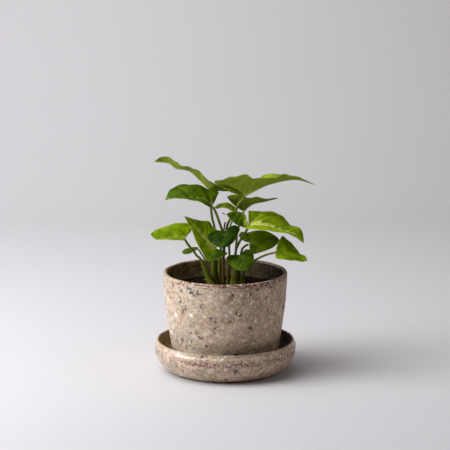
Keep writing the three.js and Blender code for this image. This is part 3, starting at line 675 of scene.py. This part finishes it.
def stoneware_piece(name, profile, inside, closed, material):
    """A thrown pot wall: turned, then let stray a few tenths of a millimetre from round."""
    points = turned_points(profile, TURNED_STEPS)
    x, y, z = np.moveaxis(points, -1, 0)
    stray = 0.22 * waves(x, y, z, 5, 25, 60) + 0.1 * waves(x, y, z, 9, 5, 11)
    radius = np.hypot(x, y)
    held = np.clip((z - z.min()) / 3, 0, 1) * np.clip(radius / 20, 0, 1)
    stretch = 1 + stray * held / np.maximum(radius, 1)
    points[..., 0] *= stretch
    points[..., 1] *= stretch
    ids = turned_ids(len(profile), TURNED_STEPS, closed)
    marks = {"inside": np.repeat(inside, TURNED_STEPS)}
    triangles = grid_triangles(ids)[:, ::-1]
    piece = new_piece(f"{name}_ware", points.reshape(-1, 3), triangles, material, marks=marks)
    hand_over(piece, name)


def soil_lumps(x, y):
    """Height of the soil's lumps above its dome, a few millimetres across."""
    return 0.8 * waves(x, y, 0 * x, 3, 9, 25) + 0.5 * waves(x, y, 0 * x, 4, 3, 7) - 0.4


def dome(share):
    """Height of the dome at a share of its radius: middle - (middle - edge) share squared."""
    return SOIL_MIDDLE - (SOIL_MIDDLE - SOIL_EDGE) * share**2


def soil_piece(material):
    """The bed of soil: the pot's inside, topped by a low dome with lumps."""
    side = pot_side(POT_WALL + SOIL_GAP, SOIL_EDGE)
    reach = side[-1, 0]
    share = np.linspace(1, 0, 70)[1:]
    crown = np.stack([share * reach, dome(share)], -1)
    base = line((0, side[0, 1]), side[0], step=4)[:-1]
    profile = np.concatenate([base, side, crown])
    points = turned_points(profile, SOIL_STEPS)
    x, y, z = np.moveaxis(points, -1, 0)
    on_top = np.clip((z - SOIL_EDGE + 0.6) / 0.6, 0, 1)
    points[..., 2] += soil_lumps(x, y) * on_top * np.clip((reach - np.hypot(x, y)) / 4, 0, 1)
    triangles = grid_triangles(turned_ids(len(profile), SOIL_STEPS, False))[:, ::-1]
    piece = new_piece("soil_bed", points.reshape(-1, 3), triangles, material)
    hand_over(piece, "soil")


def crumbs_piece(material):
    """Bits of bark and grit that lie on the soil: one squashed, turned eight-sided bit per
    place, scattered evenly over the disc, with its own shade."""
    rng = np.random.default_rng(21)
    reach = CRUMBS_REACH * np.sqrt(rng.uniform(0, 1, CRUMBS))
    t = rng.uniform(0, 2 * math.pi, CRUMBS)
    x, y = reach * np.cos(t), reach * np.sin(t)
    lumps = soil_lumps(x, y) * np.clip((SOIL_REACH - reach) / 4, 0, 1)
    places = np.stack([x, y, dome(reach / SOIL_REACH) + lumps], -1)
    corners = np.array([(1, 0, 0), (-1, 0, 0), (0, 1, 0), (0, -1, 0), (0, 0, 1), (0, 0, -1)])
    upper = [(0, 2, 4), (2, 1, 4), (1, 3, 4), (3, 0, 4)]
    lower = [(2, 0, 5), (1, 2, 5), (3, 1, 5), (0, 3, 5)]
    size = rng.uniform(0.5, 1, (CRUMBS, 1, 3)) * rng.gamma(3, 0.45, (CRUMBS, 1, 1)).clip(0.4, 2.4)
    bits = corners * size * rng.uniform(0.8, 1.15, (CRUMBS, 6, 1))
    turn = np.linalg.qr(rng.normal(size=(CRUMBS, 3, 3)))[0]
    turn *= np.linalg.det(turn)[:, None, None]
    points = bits @ turn + places[:, None]
    triangles = np.array(upper + lower) + 6 * np.arange(CRUMBS)[:, None, None]
    marks = {"shade": np.repeat(rng.uniform(0, 1, CRUMBS), 6)}
    points, triangles = points.reshape(-1, 3), triangles.reshape(-1, 3)
    piece = new_piece("soil_crumbs", points, triangles, material, marks=marks)
    piece.data.shade_flat()
    hand_over(piece, "soil")


# ---- shader trees ----------------------------------------------------------------------
class Value:
    """One output of a node. Arithmetic with it adds Math nodes to the same tree."""

    def __init__(self, graph, socket):
        self.graph, self.socket = graph, socket

    def calc(self, operation, *others):
        return self.graph.calc(operation, self, *others)

    __add__ = __radd__ = partialmethod(calc, "ADD")
    __sub__ = partialmethod(calc, "SUBTRACT")
    __mul__ = __rmul__ = partialmethod(calc, "MULTIPLY")
    __truediv__ = partialmethod(calc, "DIVIDE")
    __abs__ = partialmethod(calc, "ABSOLUTE")

    def __rsub__(self, other):
        return self.graph.calc("SUBTRACT", other, self)

    def __rtruediv__(self, other):
        return self.graph.calc("DIVIDE", other, self)

    def clamped(self):
        """Held between 0 and 1."""
        return self.graph.calc("ADD", self, 0.0, use_clamp=True)

    def fade(self, low, high):
        """0 below low, 1 above high and smooth between; low over high turns it round."""
        ends = dict(From_Min=min(low, high), From_Max=max(low, high))
        ends |= dict(To_Min=float(low > high), To_Max=float(low <= high))
        settings = dict(interpolation_type="SMOOTHSTEP")
        return self.graph.node("ShaderNodeMapRange", "Result", settings, Value=self, **ends)


class Graph:
    """A shader tree that is built up node by node. Inputs are Values, numbers or tuples."""

    def __init__(self, tree):
        self.tree = tree

    def put(self, socket, value):
        """Links a Value to the socket, and sets the socket to anything else."""
        if isinstance(value, Value):
            self.tree.links.new(value.socket, socket)
        else:
            socket.default_value = value

    def node(self, kind, wanted, settings=None, **inputs):
        """The outputs wanted of a new node: one, by name or number, or a tuple of them. Input
        names use _ for a space, or are in_0, in_1 and so on for an input by its number."""
        made = self.tree.nodes.new(kind)
        for key, value in (settings or {}).items():
            setattr(made, key, value)
        for key, value in inputs.items():
            name = int(key[3:]) if key.startswith("in_") else key.replace("_", " ")
            self.put(made.inputs[name], value)
        if isinstance(wanted, tuple):
            return [Value(self, made.outputs[each]) for each in wanted]
        return Value(self, made.outputs[wanted])

    def calc(self, operation, *values, **settings):
        """One Math node's result."""
        inputs = {f"in_{k}": value for k, value in enumerate(values)}
        settings |= dict(operation=operation)
        return self.node("ShaderNodeMath", "Value", settings, **inputs)

    def place(self):
        """Where a point lies on the object, in metres."""
        return self.node("ShaderNodeTexCoord", "Object")

    def mark(self, name):
        """The value that a piece gives its points under this name."""
        return self.node("ShaderNodeAttribute", "Fac", dict(attribute_name=name))

    def map(self, name):
        """The two numbers that a piece gives its points in the UV map of this name."""
        place = self.node("ShaderNodeUVMap", "UV", dict(uv_map=name))
        return self.node("ShaderNodeSeparateXYZ", ("X", "Y"), Vector=place)

    def stretched(self, place, upright):
        return self.node("ShaderNodeMapping", "Vector", Vector=place, Scale=(1.0, 1.0, upright))

    def noise(self, place, scale, detail=3.0, roughness=0.55, wanted="Fac"):
        inputs = dict(Vector=place, Scale=scale, Detail=detail, Roughness=roughness)
        return self.node("ShaderNodeTexNoise", wanted, **inputs)

    def mix(self, factor, a, b):
        """Colour a where factor is 0 and b where it is 1."""
        return self.node("ShaderNodeMix", 2, dict(data_type="RGBA"), in_0=factor, in_6=a, in_7=b)

    def stained(self, base, *stains):
        """The base colour with shades laid over it in turn. Each layer is a value, from where to
        where it fades in, its strength and its shade."""
        for value, low, high, strength, shade in stains:
            base = self.mix(value.fade(low, high) * strength, base, colour(*shade))
        return base

    def palette(self, pick, *stops):
        """A stepped ramp: each stop is a position and a colour."""
        made = self.node("ShaderNodeValToRGB", "Color", Fac=pick)
        ramp = made.socket.node.color_ramp
        ramp.interpolation = "CONSTANT"
        while len(ramp.elements) < len(stops):
            ramp.elements.new(0.5)
        for element, (position, shade) in zip(ramp.elements, stops):
            element.position = position
            element.color = colour(*shade)
        return made

    def use(self, group, wanted, **inputs):
        return self.node("ShaderNodeGroup", wanted, dict(node_tree=group), **inputs)

    def give(self, **results):
        """A group's outputs: Colour is a colour, and any other is a number."""
        for name in results:
            kind = "NodeSocketColor" if name == "Colour" else "NodeSocketFloat"
            self.tree.interface.new_socket(name, in_out="OUTPUT", socket_type=kind)
        end = self.tree.nodes.new("NodeGroupOutput")
        for name, value in results.items():
            self.put(end.inputs[name], value)

    def surface(self, shade, roughness, specular, **others):
        """Sets and links inputs of a material's Principled BSDF."""
        inputs = dict(Base_Color=shade, Roughness=roughness, Specular_IOR_Level=specular, **others)
        for key, value in inputs.items():
            self.put(self.tree.nodes["Principled BSDF"].inputs[key.replace("_", " ")], value)

    def bump(self, height, strength, distance):
        inputs = dict(Height=height, Strength=strength, Distance=distance)
        return self.node("ShaderNodeBump", "Normal", **inputs)


def new_group(name, inputs):
    """An empty shader group with named inputs, each given as its default. Returns its graph
    and the inputs."""
    tree = bpy.data.node_groups.new(name, "ShaderNodeTree")
    for label, default in inputs.items():
        kind = "NodeSocketVector" if isinstance(default, tuple) else "NodeSocketFloat"
        tree.interface.new_socket(label, in_out="INPUT", socket_type=kind).default_value = default
    graph = Graph(tree)
    return graph, graph.node("NodeGroupInput", tuple(inputs))


def new_material(name):
    material = bpy.data.materials.new(name)
    material.use_nodes = True
    return material, Graph(material.node_tree)


def colour(red, green, blue):
    """A colour as seen on screen, 0 to 255, turned into the linear values that nodes use."""
    shares = np.array([red, green, blue]) / 255
    linear = np.where(shares <= 0.04045, shares / 12.92, ((shares + 0.055) / 1.055) ** 2.4)
    return (*linear.tolist(), 1.0)


# ---- materials -------------------------------------------------------------------------
def flecks_group():
    """Flecks of one size: cells about `Size` millimetres wide, of which a share shows, each
    filled out to `Fill` of its cell with a ragged edge. Pick is a number of its own per fleck."""
    inputs = {"Place": (0.0, 0.0, 0.0), "Size": 2.0, "Share": 0.3, "Fill": 0.35, "Ragged": 0.3}
    graph, (place, size, share, fill, ragged) = new_group("flecks", inputs)
    scale = 1000.0 / size
    wobble = graph.noise(place, scale * 1.6, 3.0, 0.65, "Color")

    def vector(operation, **operands):
        return graph.node("ShaderNodeVectorMath", "Vector", dict(operation=operation), **operands)

    centred = vector("SUBTRACT", in_0=wobble, in_1=(0.5, 0.5, 0.5))
    ragged_place = vector("ADD", in_0=place, in_1=vector("SCALE", in_0=centred, Scale=ragged / scale))
    wanted = ("Color", "Distance")
    cell, distance = graph.node("ShaderNodeTexVoronoi", wanted, Vector=ragged_place, Scale=scale)
    draw, pick, extra = graph.node("ShaderNodeSeparateColor", (0, 1, 2), Color=cell)
    near = fill * (extra * 0.8 + 0.5) - distance
    graph.give(Mask=(near * 8.0).clamped() * draw.calc("LESS_THAN", share), Pick=pick)
    return graph.tree


def stoneware_group(flecks):
    """Beige stoneware full of coloured flecks, with a broken rust line at one height, a right side
    painted browner as shade, and a darker, browner inside, stained and painted with shade: near
    black on the right inner wall and lighter on the left. Height is for the bump: pits are low
    and grit stands proud."""
    inputs = {"Place": (0.0, 0.0, 0.0), "Rust height": 0.09, "Rust reach": 0.004}
    inputs |= {"Chips": 0.9, "Inside": 0.0, "Rough": 0.45}
    graph, given = new_group("speckled stoneware", inputs)
    place, rust_height, rust_reach, chips, inside, rough = given
    across, level = graph.node("ShaderNodeSeparateXYZ", ("X", "Z"), Vector=place)
    cloud = graph.noise(place, 18.0, 4.0)
    warm = graph.noise(place, 55.0, 4.0, 0.6)
    patch = graph.noise(place, 150.0, 4.0, 0.6)
    blotch = graph.noise(place, 360.0, 3.0, 0.6)
    grain = graph.noise(place, 1000.0, 4.0, 0.75)
    clay = graph.mix(cloud.fade(0.35, 0.65), colour(184, 160, 129), colour(204, 184, 158))
    clay = graph.stained(
        clay,
        # painted shade: the right side, away from the lamps, is browner
        (across, -0.03, 0.03, 0.5, (154, 110, 68)),
        (warm, 0.5, 0.66, 0.8, (212, 174, 156)),
        (warm, 0.46, 0.32, 0.7, (168, 154, 140)),
        (patch, 0.53, 0.66, 0.75, (224, 200, 180)),
        (patch, 0.47, 0.36, 0.6, (150, 134, 122)),
        (blotch, 0.53, 0.68, 0.6, (234, 216, 196)),
        (blotch, 0.47, 0.34, 0.55, (146, 116, 90)),
        (grain, 0.53, 0.7, 0.35, (126, 98, 74)),
        (grain, 0.46, 0.32, 0.35, (238, 224, 206)),
    )
    brown, cream, lilac, rust = (134, 98, 70), (234, 220, 202), (146, 134, 136), (170, 112, 76)
    night, coal, snow = (40, 42, 52), (70, 60, 58), (240, 232, 224)
    # Size, share shown, fill and strength of each layer of flecks, and its range of shades.
    layers = [
        (1.5, 0.5, 0.5, 0.7, ((0.0, brown), (0.3, cream), (0.55, lilac), (0.78, rust), (0.92, coal))),
        (2.6, 0.36, 0.46, 0.75, ((0.0, cream), (0.22, brown), (0.45, lilac), (0.68, rust), (0.82, coal))),
        (4.9, 0.17, 0.44, 0.9, ((0.0, night), (0.3, lilac), (0.42, brown), (0.58, coal), (0.72, snow))),
        (8.4, 0.19, 0.36, 0.95, ((0.0, night), (0.42, lilac), (0.6, coal), (0.84, snow))),
    ]
    height = grain * 0.6
    crowd = warm.fade(0.58, 0.44) * 0.6 + 0.4  # fewer small flecks where the clay is pink
    wanted = ("Mask", "Pick")
    for size, share, fill, strength, stops in layers:
        settings = dict(Size=size, Share=share, Fill=fill, Ragged=1.5)
        mask, pick = graph.use(flecks, wanted, Place=place, **settings)
        shown = mask * (crowd if size < 4 else 1.0)
        clay = graph.mix(shown * strength, clay, graph.palette(pick, *stops))
        height = height - mask * 0.3
    near = (1.0 - abs(level - rust_height) / rust_reach).clamped()
    drawn_out = graph.stretched(place, 3.0)
    broken = graph.noise(drawn_out, 100.0, 5.0, 0.7).fade(0.46, 0.5)
    broken = broken * graph.noise(place, 42.0, 2.0).fade(0.38, 0.47)
    below = abs(level - rust_height + 0.007)
    settings = dict(Size=3.4, Share=0.3, Fill=0.55, Ragged=1.6)
    mask, pick = graph.use(flecks, wanted, Place=place, **settings)
    chipped = below.fade(0.005, 0.003) * mask * chips
    clay = graph.mix(chipped, clay, graph.palette(pick, (0.0, night), (0.6, lilac), (0.8, coal)))
    bits = ((0.0, snow), (0.4, rust), (0.45, (116, 58, 28)), (0.55, (70, 38, 22)))
    bits = graph.palette(graph.noise(drawn_out, 420.0, 2.0), *bits)
    clay = graph.mix((near * 2.0).clamped() * broken * 0.95, clay, bits)
    # painted light and shade inside: near black where the lamps light the right inner wall, lighter where
    # the rim shades the left one, mottled with staining
    damp_and_shade = graph.mix(across.fade(-0.03, 0.05), colour(150, 126, 84), colour(15, 12, 6))
    damp_and_shade = graph.stained(
        damp_and_shade,
        (blotch, 0.54, 0.66, 0.3, (120, 108, 76)),
        (patch, 0.42, 0.62, 0.65, (20, 16, 10)),
    )
    # the inside, and a share of the lip, take that staining and painted shade
    clay = graph.mix(inside * 0.97, clay, damp_and_shade)
    graph.give(Colour=clay, Roughness=inside * 0.45 + cloud * 0.2 + rough, Height=height)
    return graph.tree


def stoneware(name, group, stain, rough, **settings):
    """Stoneware that takes its settings from WARE_LOOKS. Its darkened inside, stained and
    painted with shade, shines less.
    """
    material, graph = new_material(f"{name} stoneware")
    settings |= dict(Place=graph.place(), Inside=graph.mark("inside") * stain, Rough=rough)
    skin, roughness, height = graph.use(group, SKIN, **settings)
    bump = graph.bump(height, rough + 0.05, 0.0004)
    graph.surface(skin, roughness, 0.5 - settings["Inside"] * 0.42, Normal=bump)
    return material


def leaf_group():
    """Leaf skin, worked out from where a point lies on the flattened blade.

    Side veins are where along - slant out - bend out squared is a whole number of spacings.
    Pale feathers lie along the veins, mostly near the midrib and the stalk's end, where
    streaks of noise drawn out along the veins, and the nearness of a vein, add up."""
    names = ["Along", "Out", "Ahead", "Share", "Underside", "Tone", "Cream", "Veins", "Dark lobes"]
    inputs = {"Place": (0.0, 0.0, 0.0), **dict.fromkeys(names, 0.0)}
    graph, given = new_group("leaf skin", inputs)
    place, along, out, ahead, share, underside, tone, cream, veins, shaded_lobes = given
    bent = along - out * VEIN_SLANT - out * out * VEIN_BEND
    apart = (bent / VEIN_SPACING).calc("PINGPONG", 0.5)
    vein, beside = apart.fade(0.07, 0.025), apart.fade(0.4, 0.05)
    back = along.calc("MINIMUM", 0.0) * -1.0
    from_rib = (back * back + out * out).calc("SQRT")
    rib, beside_rib = from_rib.fade(0.95, 0.4), from_rib.fade(6.0, 0.5)
    patchy = graph.noise(place, 120.0, 4.0, 0.6)
    mottle = graph.noise(place, 420.0, 3.0, 0.6)
    drawn = graph.node("ShaderNodeCombineXYZ", 0, X=bent * 0.8, Y=out * 0.13, Z=tone)
    streak = graph.noise(drawn, 1.0, 4.0, 0.6)
    # painted shade: the chosen lobe is a deeper green
    yellowness = tone * (1.0 - back.fade(0.0, 6.0) * shaded_lobes)
    fresh = graph.mix(yellowness, colour(45, 73, 0), colour(150, 172, 10))
    deep = graph.mix(yellowness, colour(22, 40, 0), colour(106, 131, 0))
    green = graph.mix(patchy.fade(0.35, 0.65), deep, fresh)
    green = graph.mix(streak.fade(0.45, 0.7) * 0.35, green, fresh)
    paler = graph.mix(0.5, green, colour(176, 190, 72))
    level = patchy * 0.6 + streak * 0.4 + beside * 0.2 + beside_rib * 0.3 + cream * 0.26
    level = level - ahead * 0.5 - share * 0.45 - back * 0.03
    green = graph.mix(level.fade(0.6, 0.95) * cream, green, colour(208, 212, 108))
    green = graph.mix(vein * veins, green, paler)
    rib_shade = graph.mix(cream, colour(124, 144, 44), colour(208, 210, 128))
    green = graph.mix(rib * (veins * 1.4 + 0.04).clamped() * 0.9, green, rib_shade)
    under = graph.mix(patchy.fade(0.3, 0.7), colour(104, 122, 30), colour(138, 152, 48))
    under = graph.mix(tone * 0.9, under, colour(150, 158, 46))
    under = graph.stained(
        under,
        (streak, 0.42, 0.7, 0.25, (74, 98, 28)),
        (mottle, 0.5, 0.7, 0.3, (84, 108, 44)),
    )
    under = graph.mix(vein * 0.5, under, colour(160, 170, 92))
    under = graph.mix(rib * 0.7, under, colour(160, 168, 92))
    skin = graph.stained(
        graph.mix(underside, green, under),
        (ahead, 0.965, 1.0, 0.7, (112, 80, 36)),
        (share, 0.955, 0.99, 0.4, (150, 158, 52)),
    )
    rough = underside * 0.12 + mottle * 0.16 + 0.38
    graph.give(Colour=skin, Roughness=rough, Height=mottle * 0.5 - vein * 0.6)
    return graph.tree


def leaf_material(name, group, look):
    material, graph = new_material(f"leaf {name}")
    along, out = (part * FLAT_UNIT for part in graph.map("flat"))
    ahead, share = graph.map("share")
    # which side's lobe is painted a deeper green as shade
    shaded_side = (out * look.get("shaded_side", 1)).fade(-0.5, 1.5)
    skin, roughness, height = graph.use(
        group,
        SKIN,
        Along=along,
        Out=abs(out),
        Ahead=ahead,
        Share=abs(share),
        Underside=graph.mark("underside"),
        Tone=look["tone"],
        Cream=look["cream"],
        Veins=look["veins"],
        Dark_lobes=shaded_side * look.get("shaded_lobe", 0.0),
        Place=graph.place(),
    )
    glow = dict(Subsurface_Weight=0.25, Subsurface_Radius=(0.7, 1.0, 0.1), Subsurface_Scale=0.0015)
    graph.surface(skin, roughness, 0.05, Normal=graph.bump(height, 0.35, 0.0003), **glow)
    return material


def stalk_material(name, foot, middle, head):
    """Stringy stalk skin that changes from foot to head, with fine lengthwise streaks."""
    material, graph = new_material(name)
    place, height = graph.place(), graph.mark("height")
    streak = graph.noise(graph.stretched(place, 0.12), 1400.0, 3.0, 0.6)
    patch = graph.noise(place, 120.0, 3.0)
    skin = graph.mix(height.fade(0.12, 0.45), colour(*foot), colour(*middle))
    skin = graph.mix(height.fade(0.5, 1.0), skin, colour(*head))
    darker = graph.mix(0.5, skin, colour(40, 44, 14))
    skin = graph.mix(streak.fade(0.45, 0.7), skin, darker)
    skin = graph.mix(patch.fade(0.5, 0.75) * 0.4, skin, darker)
    graph.surface(skin, streak * 0.2 + 0.35, 0.15, Normal=graph.bump(streak, 0.5, 0.0002))
    return material


def soil_material(name, pale_share=0.0):
    """Near black potting soil. Crumbs take their shade from their own number, and a share of
    them is pale."""
    material, graph = new_material(name)
    fine = graph.noise(graph.place(), 800.0, 5.0, 0.7)
    dirt = graph.mix(fine.fade(0.35, 0.7), colour(8, 6, 3), colour(27, 20, 12))
    if pale_share:
        shade = graph.mark("shade")
        dirt = graph.mix(shade.fade(0.5, 0.9), dirt, colour(58, 42, 27))
        dirt = graph.mix(shade.fade(1 - pale_share, 1.0), dirt, colour(130, 120, 104))
    graph.surface(dirt, fine * 0.1 + 0.85, 0.05, Normal=graph.bump(fine, 0.8, 0.001))
    return material


# ---- the object ------------------------------------------------------------------------
def build_object():
    ware = stoneware_group(flecks_group())
    pot_ware, saucer_ware = (stoneware(name, ware, **look) for name, look in WARE_LOOKS.items())
    stoneware_piece("pot", *pot_profile(), True, pot_ware)
    stoneware_piece("saucer", *saucer_profile(), False, saucer_ware)
    soil_piece(soil_material("soil"))
    crumbs_piece(soil_material("soil crumbs", 0.05))
    skin = leaf_group()
    green_stalk = stalk_material("stalk", (138, 126, 50), (100, 106, 32), (120, 130, 40))
    dry_stalk = stalk_material("dry stalk", (110, 86, 52), (96, 68, 38), (70, 44, 22))
    for name, leaf in LEAVES.items():
        look = BLADE_LOOKS[name]
        blade_piece(name, leaf, look, leaf_material(name, skin, look))
        stalk_piece(f"{name}_petiole", leaf, green_stalk, f"{name}_stalk")
    stalk_piece("dry_petiole", DRY_STALK, dry_stalk, "dry_stalk")
    for name, lobe, reach in DRY_TIPS:
        stalk_end = LEAVES[name]["midrib"][0]
        tip = np.array(max(LEAVES[name][lobe], key=lambda point: math.dist(point, stalk_end)))
        thread = [tip + np.array(step) for step in reach]
        shape = dict(stalk=[*thread, tip], **DRY_TIP)
        stalk_piece(f"{name}_dry_tip", shape, dry_stalk, f"{name}_blade")


# ---- studio ----------------------------------------------------------------------------
def build_stage():
    """A pale floor that sweeps up into a wall, in metres: flat, a quarter circle, then
    upright. The camera sees through the wall from behind."""
    front, bend, sweep, top, half_wide = -3.0, 0.75, 0.5, 2.6, 3.0
    curve = arc((bend, sweep), sweep, sweep, -90, 0, 23)
    side = np.concatenate([[[front, 0]], curve, [[bend + sweep, top]]])
    edges = [np.stack([np.full(len(side), x), *side.T], -1) for x in (-half_wide, half_wide)]
    points = np.stack(edges, 1).reshape(-1, 3) / MM
    ids = np.arange(len(points)).reshape(-1, 2)
    material, graph = new_material("pale paper")
    faint = graph.noise(graph.place(), 3.0, 2.0)
    shade = graph.mix(faint, colour(199, 194, 194), colour(202, 197, 197))
    behind = graph.node("ShaderNodeNewGeometry", "Backfacing")
    seen = graph.node("ShaderNodeLightPath", "Is Camera Ray")
    graph.surface(shade, 0.9, 0.1, Alpha=1.0 - behind * seen)
    floor = new_piece("backdrop", points, grid_triangles(ids)[:, ::-1], material)


def soft_light(name, place, target, wide, high, power):
    """A rectangular light that faces its target: place and sizes in metres, power in watts."""
    data = bpy.data.lights.new(name, "AREA")
    data.shape = "RECTANGLE"
    data.size = wide
    data.size_y = high
    data.energy = power
    data.color = LIGHT_COLOUR
    lamp = bpy.data.objects.new(name, data)
    lamp.location = place
    x, y, z = np.subtract(target, place).tolist()
    lamp.rotation_euler = (math.atan2(math.hypot(x, y), -z), 0, math.atan2(-x, y))
    bpy.context.scene.collection.objects.link(lamp)


def build_lights():
    """A large window high on the left, a low one under it, and three panels that fill in. The
    world is brighter for the camera than it is as a light."""
    for name, light in LIGHTS.items():
        soft_light(name, *light)
    world = bpy.data.worlds.new("studio")
    world.use_nodes = True
    sky = world.node_tree.nodes["Background"].inputs
    sky["Color"].default_value = WORLD_COLOUR
    graph = Graph(world.node_tree)
    graph.put(sky["Strength"], graph.node("ShaderNodeLightPath", "Is Camera Ray") * 0.5 + 0.1)
    bpy.context.scene.world = world


def build_camera():
    """A long lens in front of the object and a little above it."""
    data = bpy.data.cameras.new("camera")
    data.lens = 160
    data.sensor_width = 36
    data.clip_end = 20
    camera = bpy.data.objects.new("camera", data)
    camera.location = CAMERA_AT
    camera.rotation_euler = (math.radians(90 - CAMERA_LOOKS_DOWN), 0, 0)
    bpy.context.scene.collection.objects.link(camera)
    bpy.context.scene.camera = camera


build_object()
build_stage()
build_lights()
build_camera()
bpy.context.scene.view_settings.view_transform = "Standard"
